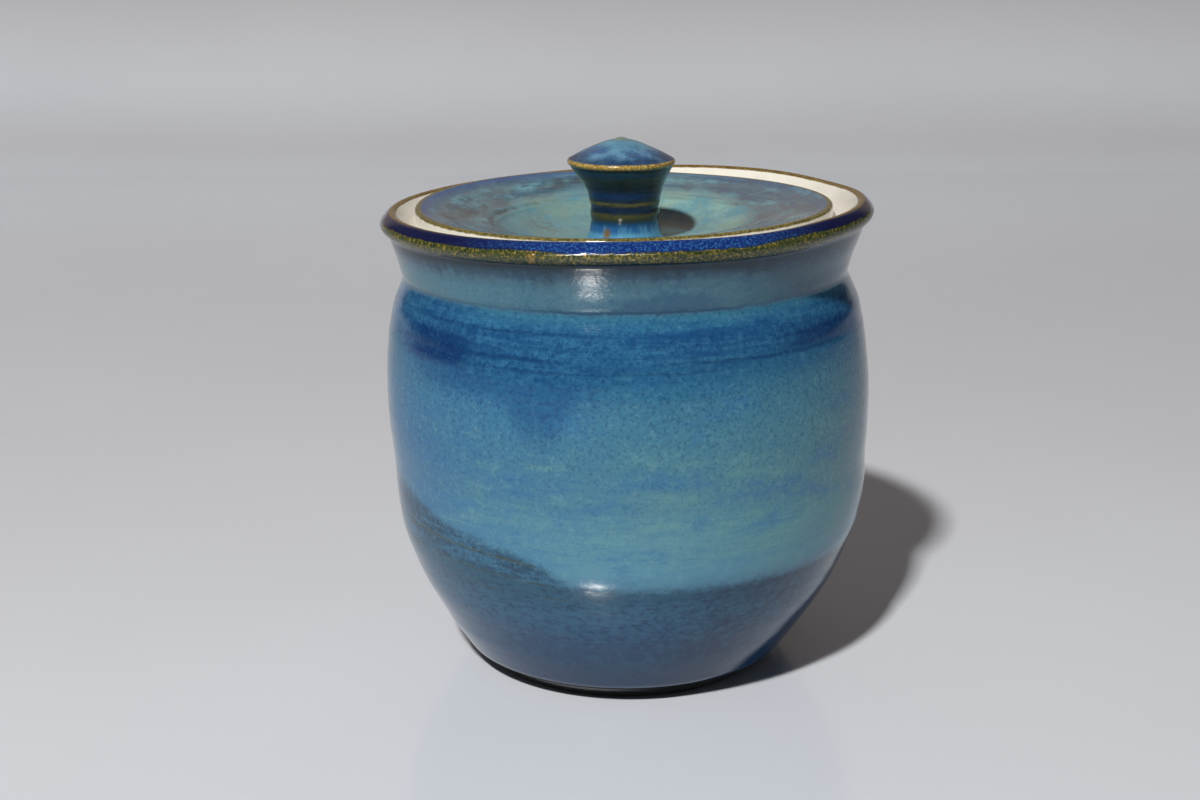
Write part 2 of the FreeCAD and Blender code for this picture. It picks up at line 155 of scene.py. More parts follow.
def thrown(name, sections, seg, warp, charts):
    """A closed thrown form. sections: (points, step, chart) from the lower pole outwards, up, over and back to the axis.
    warp(phi, r, h, chart) gives x, y, z. charts: chart -> (kind, x0, y0, width, height) of its place on the unit square."""
    rr, hh, cc, ss = [], [], [], []
    s = 0.0
    for i, (pts, step, chart) in enumerate(sections):
        q = resample(pts, step)
        d = np.r_[0, np.cumsum(np.linalg.norm(np.diff(q, axis=0), axis=1))]
        q0 = 0 if i == 0 else 1
        rr += list(q[q0:, 0]); hh += list(q[q0:, 1]); ss += list(s + d[q0:]); cc += [chart] * (len(q) - q0)
        s += d[-1]
    rr, hh, ss = np.array(rr), np.array(hh), np.array(ss)
    n = len(rr)
    rings = range(1, n - 1)
    phi = np.arange(seg) * 2 * math.pi / seg - math.pi
    verts, vh, vs, vc = [], [], [], []
    x, y, z = warp(np.zeros(1), np.array([0.0]), np.array([hh[0]]), cc[0])
    verts.append(np.c_[x, y, z]); vh.append([hh[0]]); vs.append([ss[0]]); vc.append([0.0])
    for i in rings:
        x, y, z = warp(phi, np.full(seg, rr[i]), np.full(seg, hh[i]), cc[i])
        verts.append(np.c_[x, y, z]); vh.append([hh[i]] * seg); vs.append([ss[i]] * seg); vc.append([rr[i]] * seg)
    x, y, z = warp(np.zeros(1), np.array([0.0]), np.array([hh[-1]]), cc[-1])
    verts.append(np.c_[x, y, z]); vh.append([hh[-1]]); vs.append([ss[-1]]); vc.append([0.0])
    co = np.concatenate(verts) * MM
    vid = lambda i, j: 0 if i == 0 else (len(co) - 1 if i == n - 1 else 1 + (i - 1) * seg + j % seg)

    # where each chart starts and ends along the profile
    span = {}
    for i in range(n - 1):
        c = cc[i + 1]
        a, b = span.get(c, (ss[i], ss[i + 1]))
        span[c] = (min(a, ss[i]), max(b, ss[i + 1]))

    def uv(c, i, j):
        kind, x0, y0, w, t = charts[c]
        a, b = span[c]
        if kind == "wall":
            return x0 + w * j / seg, y0 + t * (ss[i] - a) / (b - a)
        p = -math.pi + 2 * math.pi * j / seg
        q = (ss[i] - a) / (b - a) if kind == "disc_out" else (b - ss[i]) / (b - a)
        sx = 1 if kind == "disc_in" else -1
        return x0 + w / 2 + sx * w / 2 * q * math.sin(p), y0 + t / 2 - t / 2 * q * math.cos(p)

    faces, uvs = [], []
    for i in range(n - 1):
        c = cc[i + 1]
        for j in range(seg):
            if i == 0:
                f, k = (vid(0, 0), vid(1, j + 1), vid(1, j)), ((0, j + 0.5), (1, j + 1), (1, j))
            elif i == n - 2:
                f, k = (vid(i, j), vid(i, j + 1), vid(n - 1, 0)), ((i, j), (i, j + 1), (n - 1, j + 0.5))
            else:
                f, k = (vid(i, j), vid(i, j + 1), vid(i + 1, j + 1), vid(i + 1, j)), ((i, j), (i, j + 1), (i + 1, j + 1), (i + 1, j))
            faces.append(f)
            uvs += [uv(c, *q) for q in k]
    me = bpy.data.meshes.new(name)
    me.from_pydata(co.tolist(), [], faces)
    me.validate()
    me.shade_smooth()
    for key, val in (("h", vh), ("s", vs), ("rr", vc)):
        at = me.attributes.new(key, "FLOAT", "POINT")
        at.data.foreach_set("value", np.concatenate([np.array(v, np.float32) for v in val]))
    layer = me.uv_layers.new(name="OFBake")
    layer.data.foreach_set("uv", np.array(uvs, np.float32).ravel())
    me.update()
    ob = bpy.data.objects.new(name, me)
    scene.collection.objects.link(ob)
    # arc positions of the section ends, for the materials
    marks = []
    s = 0.0
    for pts, step, chart in sections:
        q = resample(pts, step)
        s += float(np.linalg.norm(np.diff(q, axis=0), axis=1).sum())
        marks.append(s)
    return ob, marks


def periodic(knots):
    """A closed smooth curve of height against angle in degrees."""
    a = np.array([k[0] for k in knots], float)
    v = np.array([k[1] for k in knots], float)
    f = natural(np.r_[a - 360, a, a + 360], np.r_[v, v, v])
    return lambda phi: f((np.degrees(phi) + 180) % 360 - 180)


# ---------------------------------------------------------------- the jar's body

wall_r = natural(
    [5.2, 8, 13, 18, 23, 28, 34, 40, 46, 52, 58, 64, 70, 76, 82, 88, 93, 98, 102, 104.5, 106.3, 107.5, 109, 110.5, 112, 114.5, 117, 119, 120.2],
    [44.8, 46.7, 50.1, 53.1, 56.03, 58.4, 60.76, 62.72, 63.82, 64.36, 64.5, 64.95, 65.31, 65.37, 65.16, 64.6, 64.0, 63.0, 61.85, 60.72, 59.88,
     59.5, 59.8, 60.2, 60.6, 61.4, 62.3, 62.95, 63.35])
lean = natural([0, 4, 20, 35, 50, 65, 80, 95, 104, 110, 115, 121, 126],
               [-0.5, -0.5, 0.15, 0.45, 1.0, 0.58, 0.28, 0.0, -0.1, -0.42, -0.18, 0.05, 0.07])

foot_pts = rounded([(0, 2.6), (28.8, 2.6), (30.4, 0.0), (38.6, 0.0), (43.1, 4.15), (46.75, 8.0)], [1.0, 0.6, 0.8, 2.2], 8)
foot_pts = [p for p in foot_pts if p[1] < 5.4 or p[0] < 40]
foot_pts[-1] = (float(wall_r(5.2)), 5.2) if foot_pts[-1][1] > 4.6 else foot_pts[-1]
under = [p for p in foot_pts if p[0] <= 28.0] + [(28.0, 2.6)]
ring = [(28.0, 2.6)] + [p for p in foot_pts if p[0] > 28.0]
if ring[-1][1] < 5.2:
    ring.append((float(wall_r(5.2)), 5.2))
wall = [(float(wall_r(z)), float(z)) for z in np.linspace(5.2, 120.2, 400)]
lip = through([
    (float(wall_r(120.2)), 120.2), (63.68, 120.5), (64.2, 120.78), (64.85, 121.3), (65.3, 122.0), (65.46, 122.75),
    (65.3, 123.45), (64.72, 124.3), (63.9, 125.15), (63.25, 125.68), (62.55, 125.93), (61.75, 125.75), (60.8, 124.98)], 8)
gallery = rounded([(60.8, 124.98), (57.45, 121.3), (50.5, 121.3), (50.5, 118.0), (55.0, 109.5)], [1.2, 0.9, 0.9], 8)
bore = spline([(30, 7.6), (37.7, 7.6), (47.4, 20.1), (58.7, 40.8), (60.5, 68.2), (60.9, 91.0), (55.0, 105.2), (55.0, 109.5)],
              [.18, .40, .61, .89], 200)[::-1]
floor_pts = [(30, 7.6), (0, 7.6)]


def throwing(phi, h, seed, pitch, amp):
    """Uneven spiral finger ridges; whole turns round the pot, so there is no seam."""
    t = phi / (2 * math.pi)
    out = np.zeros_like(phi, dtype=float)
    for k, (p, a) in enumerate(((pitch, 0.45), (pitch * 0.61, 0.25), (pitch * 2.3, 0.5), (pitch * 0.37, 0.12))):
        ph = seed * 1.7 + k * 2.1
        wob = 0.5 * np.sin(phi + ph) + 0.3 * np.sin(2 * phi + 2.3 * ph + h * 0.05)
        mod = 0.6 + 0.4 * np.sin(h * 0.11 + ph + phi)
        out = out + a * mod * np.sin(2 * math.pi * (h / p - t) + wob + ph)
    return amp * out


# the rim and the lid are not quite level: small rises and dips round the pot
rim_wave = periodic([(-175, 0.55), (-160, 0.25), (-140, 0.0), (-90, 0.0), (0, 0.0), (12, -0.20), (24, -0.45), (38, -0.45), (50, -0.10), (62, 0.0), (98, -0.05), (116, -0.40), (130, 0.05),
                     (146, 0.50), (164, 0.75)])
lid_wave = periodic([(-165, 1.25), (-150, 1.45), (-135, 1.45), (-115, 1.25), (-90, 0.85), (-68, 0.35), (-45, 0.05), (0, 0.0), (90, 0.0),
                     (140, 0.05), (162, 0.35), (180, 0.85)])


def body_warp(phi, r, h, chart):
    h = np.asarray(h, float)
    out = chart in ("wall", "foot", "lip")
    rr = r.copy()
    if chart == "wall":
        k = smooth01(h, 6, 14) * (1 - smooth01(h, 116, 120))
        rr += k * throwing(phi, h, 1.0, 5.2, 0.055)
        rr -= 0.12 * bell(h + 0.3 * np.sin(phi * 2 + 0.6), 107.6, 0.5)
        for c, w, a in ((103.1, 0.5, 0.07), (96.6, 0.55, 0.10), (94.0, 0.45, 0.05)):
            rr -= a * bell(h + 0.5 * np.sin(phi + c), c, w)
        # the edge of the second dip stands a little proud
        edge = dip_edge(phi)
        rr += 0.06 * smooth01(h - edge, -0.8, 0.9) * (1 - smooth01(h - edge, 2.0, 16.0))
    elif chart in ("bore", "floor"):
        rr += smooth01(h, 9, 22) * (1 - smooth01(h, 100, 108)) * throwing(phi, h, 4.0, 6.4, 0.34)
    oval = 0.06 * np.cos(2 * phi + 0.7) * smooth01(h, 20, 70) * (1.0 if out else 0.6)
    rr = rr + oval * smooth01(r, 10, 50)
    x, y = rr * np.sin(phi), -rr * np.cos(phi)
    if chart in ("wall", "foot", "lip"):
        t = 0.026 * smooth01(h, 97, 125)
        z = h + t * x - 0.0026 * smooth01(h, 97, 125) * y
        z = z + (0.10 * np.sin(3 * phi + 0.5) + 0.05 * np.sin(5 * phi + 2.0) + rim_wave(phi)) * smooth01(h, 115, 120.5)
    elif chart == "gallery":
        t = 0.0136 + (0.026 - 0.0136) * smooth01(h, 121.3, 124.9)
        z = h + t * x - 0.0026 * y
        z = z + (0.10 * np.sin(3 * phi + 0.5) + 0.05 * np.sin(5 * phi + 2.0) + rim_wave(phi)) * smooth01(h, 121.4, 124.9)
    else:
        z = h + 0.0136 * smooth01(h, 60, 109) * x
        if chart == "floor":
            z = z + 0.25 * np.cos(rr * 2 * math.pi / 5.5 - phi) * smooth01(rr, 2, 8) * (1 - smooth01(rr, 24, 30))
    if chart == "under":
        z = z + 0.06 * np.cos(rr * 2 * math.pi / 2.6 - phi) * smooth01(rr, 2, 6) * (1 - smooth01(rr, 25, 28))
    return x + lean(h), y, z


DIP = [(-179, 50.0), (-150, 56), (-120, 58), (-95, 57.2), (-70, 55.4), (-60, 53.6), (-50, 50.6), (-40, 48.6), (-30, 46.9), (-25, 45.6),
       (-20, 43.8), (-16, 41.0), (-12, 39.2), (-6, 38.6), (10, 38.4), (30, 38.5), (55, 38.4), (80, 38.8), (105, 40.0), (130, 43.0), (155, 46.5)]
dip_edge = periodic(DIP)

body, body_s = thrown(
    "jar_body_thrown",
    [(under, 2.2, "under"), (ring, 0.55, "foot"), (wall, 1.0, "wall"), (lip, 0.28, "lip"), (gallery, 0.75, "gallery"),
     (bore, 1.75, "bore"), (floor_pts, 2.5, "floor")],
    282, body_warp,
    {"under": ("disc_out", 0.700, 0.700, 0.30, 0.30), "foot": ("wall", 0.0, 0.0, 1.0, 0.040), "wall": ("wall", 0.0, 0.045, 1.0, 0.300),
     "lip": ("wall", 0.0, 0.350, 1.0, 0.045), "gallery": ("wall", 0.0, 0.400, 1.0, 0.055), "bore": ("wall", 0.0, 0.460, 1.0, 0.235),
     "floor": ("disc_in", 0.0, 0.700, 0.28, 0.28)})
print("body faces", len(body.data.polygons), "marks", [round(v, 2) for v in body_s])

# ---------------------------------------------------------------- the lid

LID_Z = 110.2
lid_under = [(0, 0), (11, 0)] + spline([(11, 0), (17.2, 0), (28.3, 4.6), (40, 7.7), (46, 8.2)], [.5], 60)[1:]
lid_rim = rounded([(46, 8.2), (49.7, 8.7), (49.7, 11.2), (55.4, 11.2), (55.6, 15.15), (53.6, 14.98), (50.0, 14.25)], [0.6, 0.5, 0.6, 0.95, 3.0], 8)
flange_r = natural([37.5, 40, 45, 50.0], [11.75, 12.25, 13.2, 14.25])
flange = [(float(x), float(flange_r(x))) for x in np.linspace(50.0, 37.5, 30)]
crest = rounded([(37.5, 11.75), (35.6, 11.32), (33.9, 10.85)], [3.5], 6)
dish = [(33.9, 10.85)] + [p for p in spline([(35.5, 11.3), (31.2, 8.8), (25.0, 5.2), (17.0, 4.8), (11.6, 4.8)], [.5], 80) if p[0] < 33.4] + [(0.0, 4.8)]


def lid_warp(phi, r, h, chart):
    rr = r.copy()
    z = np.asarray(h, float) + 0.0
    if chart == "top":
        k = smooth01(r, 12, 18) * (1 - smooth01(r, 49, 53))
        z = z + k * 0.7 * throwing(phi, r, 2.0, 6.0, 0.13)
        z = z + 0.22 * bell(r + 0.3 * np.sin(phi), 36.2, 1.0) - 0.16 * bell(r + 0.3 * np.sin(phi), 34.4, 0.9)
        z = z + 0.10 * bell(r, 27.5 + 0.6 * np.sin(phi + 1), 1.1)
    elif chart == "under":
        z = z + smooth01(r, 12, 18) * (1 - smooth01(r, 38, 44)) * throwing(phi, r, 3.0, 6.5, 0.15)
    if chart in ("top", "edge"):
        z = z + (0.07 * np.sin(2 * phi + 1.2) + lid_wave(phi)) * smooth01(r, 33, 55) * smooth01(h, 11.3, 14)
    x, y = rr * np.sin(phi), -rr * np.cos(phi)
    z = z + 0.0136 * x - 0.0026 * y
    return x - 0.65, y, z + LID_Z


lid, lid_s = thrown(
    "lid_thrown",
    [(lid_under, 1.3, "under"), (lid_rim, 0.35, "edge"), (flange, 0.55, "top"), (crest, 0.4, "top"), (dish, 0.7, "top")],
    280, lid_warp,
    {"under": ("disc_out", 0.53, 0.50, 0.46, 0.46), "edge": ("wall", 0.0, 0.0, 1.0, 0.10), "top": ("disc_in", 0.0, 0.13, 0.52, 0.52)})
print("lid faces", len(lid.data.polygons), "marks", [round(v, 2) for v in lid_s])

# ---------------------------------------------------------------- the knob

KNOB_Z = 115.0
knob_base = [(0, -0.25), (12.2, -0.25)]
stem = [(12.2, -0.25)] + [(11.6, 0.12)] + spline([(11.6, 0.12), (10.1, 0.95), (9.05, 4.4), (9.05, 9.8), (10.3, 15.4), (12.7, 18.6), (13.85, 20.75)], [.25, .5, .75], 120)[1:]
cap_edge = through([(13.85, 20.75), (14.15, 20.95), (14.38, 21.3), (14.42, 21.7), (14.24, 22.1), (13.86, 22.4)], 6)
dome = through([(13.86, 22.4), (12.6, 23.1), (11.0, 24.0), (9.3, 24.85), (7.4, 25.75), (5.6, 26.55), (4.0, 27.12), (2.7, 27.45)], 8)
tip = through([(2.7, 27.45), (1.9, 27.62), (1.15, 27.93), (0.55, 28.12), (0.0, 28.18)], 6)


def knob_warp(phi, r, h, chart):
    h = np.asarray(h, float)
    rr = r.copy()
    if chart == "stem":
        rr += 0.10 * throwing(phi, h, 5.0, 2.6, 1.0) * smooth01(h, 1, 4) * (1 - smooth01(h, 18.5, 20.2))
        rr += 0.16 * bell(h, 11.05, 0.42) + 0.20 * bell(h, 8.0, 0.9) - 0.14 * bell(h, 9.6, 0.6) - 0.12 * bell(h, 6.0, 0.5)
    if chart == "dome":
        rr += 0.05 * np.sin(3 * phi + h) * smooth01(r, 2, 8)
    rr = rr + 0.06 * np.cos(2 * phi) * smooth01(r, 4, 9)
    x, y = rr * np.sin(phi), -rr * np.cos(phi)
    t = 0.0136 + (-0.006 - 0.0136) * smooth01(h, 2, 12)
    z = h + t * x + 0.004 * y - 0.10 * smooth01(h, 12, 20) - 0.25 * smooth01(h, 23, 27)
    drift = 0.30 - 0.92 * smooth01(h, 12, 22)
    return x - 0.65 + drift, y, z + KNOB_Z


knob, knob_s = thrown(
    "lid_knob_thrown",
    [(knob_base, 2.0, "base"), (stem, 0.32, "stem"), (cap_edge, 0.22, "stem"), (dome, 0.38, "dome"), (tip, 0.25, "dome")],
    200, knob_warp,
    {"base": ("disc_out", 0.64, 0.52, 0.34, 0.34), "stem": ("wall", 0.0, 0.0, 1.0, 0.42), "dome": ("disc_in", 0.0, 0.44, 0.56, 0.56)})
print("knob faces", len(knob.data.polygons), "marks", [round(v, 2) for v in knob_s])

# ---------------------------------------------------------------- node trees


def lin(r, g, b):
    f = lambda c: (c / 255 / 12.92) if c / 255 <= 0.04045 else ((c / 255 + 0.055) / 1.055) ** 2.4
    return (f(r), f(g), f(b), 1.0)


class V:
    """A number in a node tree, with ordinary arithmetic."""

    def __init__(self, t, k):
        self.t, self.k = t, k

    def _m(self, op, a, b):
        return self.t.m(op, a, b)

    def __add__(self, o): return self._m("ADD", self, o)
    def __radd__(self, o): return self._m("ADD", o, self)
    def __sub__(self, o): return self._m("SUBTRACT", self, o)
    def __rsub__(self, o): return self._m("SUBTRACT", o, self)
    def __mul__(self, o): return self._m("MULTIPLY", self, o)
    def __rmul__(self, o): return self._m("MULTIPLY", o, self)
    def __truediv__(self, o): return self._m("DIVIDE", self, o)
    def __rtruediv__(self, o): return self._m("DIVIDE", o, self)
    def __neg__(self): return self._m("MULTIPLY", self, -1.0)


class Tree:
    def __init__(self, name):
        self.mat = bpy.data.materials.new(name)
        self.mat.use_nodes = True
        self.nt = self.mat.node_tree
        self.nt.nodes.clear()
        self.out = self.nt.nodes.new("ShaderNodeOutputMaterial")
        self.sh = self.nt.nodes.new("ShaderNodeBsdfPrincipled")
        self.nt.links.new(self.sh.outputs[0], self.out.inputs[0])
        self.tc = self.nt.nodes.new("ShaderNodeTexCoord")

    def put(self, val, sock):
        if isinstance(val, V):
            self.nt.links.new(val.k, sock)
        elif hasattr(val, "is_output"):
            self.nt.links.new(val, sock)
        else:
            sock.default_value = val

    def m(self, op, a, b=None, c=None, clamp=False):
        n = self.nt.nodes.new("ShaderNodeMath")
        n.operation = op
        n.use_clamp = clamp
        for i, v in enumerate((a, b, c)):
            if v is not None:
                self.put(v, n.inputs[i])
        return V(self, n.outputs[0])

    def mx(self, *v):
        r = v[0]
        for o in v[1:]:
            r = self.m("MAXIMUM", r, o)
        return r

    def mn(self, a, b): return self.m("MINIMUM", a, b)
    def ab(self, a): return self.m("ABSOLUTE", a)
    def clip(self, a): return self.m("ADD", a, 0.0, clamp=True)

    def step(self, x, lo, hi):
        """0 below lo, 1 above hi, smooth between; lo > hi falls instead."""
        if not isinstance(lo, V) and not isinstance(hi, V) and lo > hi:
            return 1.0 - self.step(x, hi, lo)
        n = self.nt.nodes.new("ShaderNodeMapRange")
        n.interpolation_type = "SMOOTHSTEP"
        self.put(x, n.inputs["Value"])
        self.put(lo, n.inputs["From Min"])
        self.put(hi, n.inputs["From Max"])
        return V(self, n.outputs["Result"])

    def band(self, x, c, w):
        """1 at c, falling smoothly to 0 at c - w and c + w."""
        return self.step(self.ab(x - c), w, 0.0)

    def window(self, x, a, b, soft):
        return self.step(x, a - soft, a + soft) * self.step(x, b + soft, b - soft)

    def vec(self, x, y, z):
        n = self.nt.nodes.new("ShaderNodeCombineXYZ")
        for i, v in enumerate((x, y, z)):
            self.put(v, n.inputs[i])
        return n.outputs[0]

    def noise(self, vec, scale, detail=3.0, rough=0.55, dist=0.0, lac=2.0):
        n = self.nt.nodes.new("ShaderNodeTexNoise")
        n.noise_dimensions = "3D"
        self.nt.links.new(vec, n.inputs["Vector"])
        n.inputs["Scale"].default_value = scale
        n.inputs["Detail"].default_value = detail
        n.inputs["Roughness"].default_value = rough
        n.inputs["Lacunarity"].default_value = lac
        n.inputs["Distortion"].default_value = dist
        return V(self, n.outputs["Fac"])

    def cells(self, vec, scale, feature="F1", out="Distance"):
        n = self.nt.nodes.new("ShaderNodeTexVoronoi")
        n.voronoi_dimensions = "3D"
        n.feature = feature
        self.nt.links.new(vec, n.inputs["Vector"])
        n.inputs["Scale"].default_value = scale
        return V(self, n.outputs[out])

    def attr(self, name):
        n = self.nt.nodes.new("ShaderNodeAttribute")
        n.attribute_name = name
        return V(self, n.outputs["Fac"])

    def mm(self, dx=0.0, dy=0.0, dz=0.0):
        """Object coordinates in millimetres, from (dx, dy, dz): vector, x, y, z."""
        n = self.nt.nodes.new("ShaderNodeMapping")
        self.nt.links.new(self.tc.outputs["Object"], n.inputs["Vector"])
        n.inputs["Scale"].default_value = (1000, 1000, 1000)
        n.inputs["Location"].default_value = (-dx, -dy, -dz)
        s = self.nt.nodes.new("ShaderNodeSeparateXYZ")
        self.nt.links.new(n.outputs[0], s.inputs[0])
        return n.outputs[0], V(self, s.outputs[0]), V(self, s.outputs[1]), V(self, s.outputs[2])

    def scaled(self, vec, sx, sy, sz):
        n = self.nt.nodes.new("ShaderNodeMapping")
        self.nt.links.new(vec, n.inputs["Vector"])
        n.inputs["Scale"].default_value = (sx, sy, sz)
        return n.outputs[0]

    def ramp(self, f, stops, lo, hi, interp="EASE"):
        """A colour for each height: stops of (height, (r, g, b)) in sRGB 0 to 255."""
        n = self.nt.nodes.new("ShaderNodeValToRGB")
        n.color_ramp.interpolation = interp
        el = n.color_ramp.elements
        while len(el) > 1:
            el.remove(el[-1])
        el[0].position = (stops[0][0] - lo) / (hi - lo)
        el[0].color = lin(*stops[0][1])
        for p, c in stops[1:]:
            e = el.new((p - lo) / (hi - lo))
            e.color = lin(*c)
        self.put((f - lo) / (hi - lo), n.inputs[0])
        return n.outputs[0]

    def curve(self, x, pts, xr, yr):
        """y for x along given points; xr and yr are the ranges they span."""
        n = self.nt.nodes.new("ShaderNodeFloatCurve")
        c = n.mapping.curves[0]
        q = [((a - xr[0]) / (xr[1] - xr[0]), (b - yr[0]) / (yr[1] - yr[0])) for a, b in pts]
        c.points[0].location, c.points[1].location = q[0], q[-1]
        for p in q[1:-1]:
            c.points.new(*p)
        for p in c.points:
            p.handle_type = "AUTO_CLAMPED"
        n.mapping.update()
        self.put((x - xr[0]) / (xr[1] - xr[0]), n.inputs["Value"])
        return V(self, n.outputs[0]) * (yr[1] - yr[0]) + yr[0]

    def mix(self, f, a, b, mode="MIX"):
        n = self.nt.nodes.new("ShaderNodeMix")
        n.data_type = "RGBA"
        n.blend_type = mode
        n.clamp_factor = True
        self.put(f, n.inputs[0])
        for v, i in ((a, 6), (b, 7)):
            if isinstance(v, tuple):
                n.inputs[i].default_value = lin(*v) if len(v) == 3 else v
            else:
                self.put(v, n.inputs[i])
        return n.outputs[2]

    def bump(self, height, strength=1.0, distance=0.001, normal=None):
        n = self.nt.nodes.new("ShaderNodeBump")
        n.inputs["Strength"].default_value = strength
        n.inputs["Distance"].default_value = distance
        self.put(height, n.inputs["Height"])
        if normal is not None:
            self.nt.links.new(normal, n.inputs["Normal"])
        return n.outputs[0]

    def finish(self, color, rough, normal=None, ior=1.5, **consts):
        self.put(color, self.sh.inputs["Base Color"])
        self.put(rough, self.sh.inputs["Roughness"])
        self.sh.inputs["IOR"].default_value = ior
        if normal is not None:
            self.nt.links.new(normal, self.sh.inputs["Normal"])
        for k, v in consts.items():
            self.sh.inputs[k].default_value = v
        return self.mat


# ---------------------------------------------------------------- the body's glaze

S_RING, S_FOOT, S_WALL, S_LIP, S_GAL, S_BORE, S_END = body_s
lip_pts = resample(lip, 0.28)
lip_d = np.r_[0, np.cumsum(np.linalg.norm(np.diff(lip_pts, axis=0), axis=1))]
s_wide = S_WALL + float(lip_d[int(np.argmax(lip_pts[:, 0]))])
s_crest = S_WALL + float(lip_d[int(np.argmax(lip_pts[:, 1]))])
s_under = S_WALL + float(np.interp(120.75, lip_pts[:30, 1], lip_d[:30]))


def body_material():
    t = Tree("stoneware_jar_glaze")
    P, x, y, z = t.mm()
    h, s = t.attr("h"), t.attr("s")
    phi = t.m("ARCTAN2", x, -y) * (180 / math.pi)

    n_big = t.noise(P, 0.022, 3)
    n_mid = t.noise(P, 0.075, 4, 0.6)
    n_small = t.noise(P, 0.42, 4, 0.65)
    n_fine = t.noise(P, 1.15, 3, 0.7)
    n_fine2 = t.noise(t.scaled(P, 1, 1, 1.2), 0.85, 3, 0.6)
    streak = t.noise(t.scaled(P, 0.045, 0.045, 0.55), 1.0, 4, 0.6)
    streak2 = t.noise(t.scaled(P, 0.09, 0.09, 1.5), 1.0, 3, 0.6)
    drip = t.noise(t.scaled(P, 0.30, 0.30, 0.035), 1.0, 3, 0.6)
    wob = (n_mid - 0.5) * 3.0 + (n_small - 0.5) * 1.6

    # lower slate zone
    low = t.ramp(h + (n_mid - 0.5) * 7 + (streak - 0.5) * 7, [
        (2, (24, 52, 82)), (9, (20, 58, 92)), (15, (25, 66, 100)), (21, (22, 66, 102)), (26, (34, 76, 110)), (30, (40, 82, 112)),
        (34, (34, 78, 106)), (39, (38, 82, 106))], 0, 64)
    # painted shade and light: the lower zone is painted darker on the right, away from the key and over its shadow, and
    # lighter on the left where the key falls
    low = t.mix(t.step(phi, 2, 30) * t.step(phi, 150, 110) * 0.65, low, (4, 44, 74))
    low = t.mix(t.step(phi, -30, -62) * t.step(phi, -150, -110) * 0.5, low, (52, 96, 122))
    grain = t.noise(t.scaled(P, 0.45, 0.45, 0.85), 1.0, 4, 0.7)
    mott = t.step(grain + (streak2 - 0.5) * 0.5, 0.40, 0.66)
    low = t.mix(mott * t.window(h, 22, 36, 5) * 0.50 * t.step(phi, 75, 30), low, (58, 106, 134))
    low = t.mix(t.step(grain, 0.47, 0.36) * 0.50, low, (12, 40, 76))
    low = t.mix(t.step(n_fine, 0.54, 0.68) * 0.35, low, (14, 40, 70))
    low = t.mix(t.step(n_small, 0.48, 0.66) * t.window(h, 14, 38, 6) * 0.40, low, (46, 98, 128))

    # aqua field
    hu = h + wob + (drip - 0.5) * 5
    # the last stops, darkening from h 117 up to the lip, are partly the dark slate glaze under the gold and partly
    # painted shadow of the overhanging lip
    up = t.ramp(hu, [
        (36, (70, 116, 142)), (40, (77, 127, 152)), (44, (84, 137, 160)), (50, (84, 135, 153)), (56, (79, 129, 147)), (63, (72, 123, 143)),
        (70, (64, 118, 140)), (76, (58, 115, 139)), (83, (53, 112, 139)), (90, (48, 105, 136)), (96, (44, 98, 130)), (100, (42, 96, 130)),
        (104, (46, 102, 135)), (107, (52, 106, 134)), (108.4, (50, 94, 118)), (110, (56, 104, 126)), (113, (62, 109, 130)), (115.2, (54, 96, 116)),
        (117.2, (32, 62, 84)), (119, (22, 48, 64)), (121, (20, 36, 44))], 0, 128)
    # painted reflection: the left of the aqua field is tinted bluer for reflected sky
    left = t.step(phi, 10, -60) * t.step(phi, -150, -90)
    up = t.mix(left * t.window(h, 38, 86, 8) * 0.62, up, (48, 108, 158))
    right = t.step(phi, 0, 50) * t.step(phi, 160, 110)
    up = t.mix(right * t.window(h, 42, 92, 8) * 0.36, up, (82, 128, 136))
    up = t.mix(t.step(streak, 0.52, 0.66) * t.window(h, 42, 62, 6) * 0.30, up, (100, 148, 150))
    up = t.mix(t.step(streak2, 0.50, 0.70) * t.window(h, 44, 92, 8) * 0.30, up, (48, 108, 144))
    cloud = t.noise(t.scaled(P, 0.050, 0.050, 0.16), 1.0, 4, 0.62)
    up = t.mix(t.step(cloud + (n_small - 0.5) * 0.35, 0.50, 0.68) * t.window(h, 42, 76, 7) * 0.36, up, (100, 148, 144))
    up = t.mix(t.step(cloud + (n_small - 0.5) * 0.30, 0.49, 0.33) * t.window(h, 40, 98, 6) * 0.55, up, (48, 106, 152))
    up = t.mix(t.step(n_small, 0.53, 0.72) * t.window(h, 40, 106, 4) * 0.22, up, (110, 158, 168))

    # overlap zone between the two dips, on the left
    zA = t.curve(phi, [(-180, 49.7)] + DIP[1:] + [(180, 49.7)], (-180, 180), (30, 70))
    zB = t.curve(phi, [(-180, 44), (-150, 43.5), (-120, 42), (-90, 41), (-62, 40.5), (-35, 40.0), (-12, 38.4), (55, 38.0), (105, 39), (150, 43), (180, 44)],
                 (-180, 180), (30, 70))
    en = (n_small - 0.5) * 2.2 + (n_fine - 0.5) * 1.2
    en = en + (grain - 0.5) * 2.4
    mA = t.step(h - zA + en, -1.5, 2.2)
    mB = t.step(h - zB + en, -0.9, 1.2)
    mid = t.mix(t.step(streak + (n_small - 0.5) * 0.6, 0.40, 0.62), (34, 72, 98), (54, 104, 134))
    mid = t.mix(t.step(n_fine, 0.50, 0.64) * 0.5, mid, (24, 50, 78))
    base = t.mix(mB, low, mid)
    base = t.mix(t.band(h - zA + en * 0.5, -0.9, 1.6) * t.step(phi, -8, -20) * t.step(n_fine2, 0.42, 0.58) * 0.6, base, (26, 58, 86))
    base = t.mix(mA, base, up)
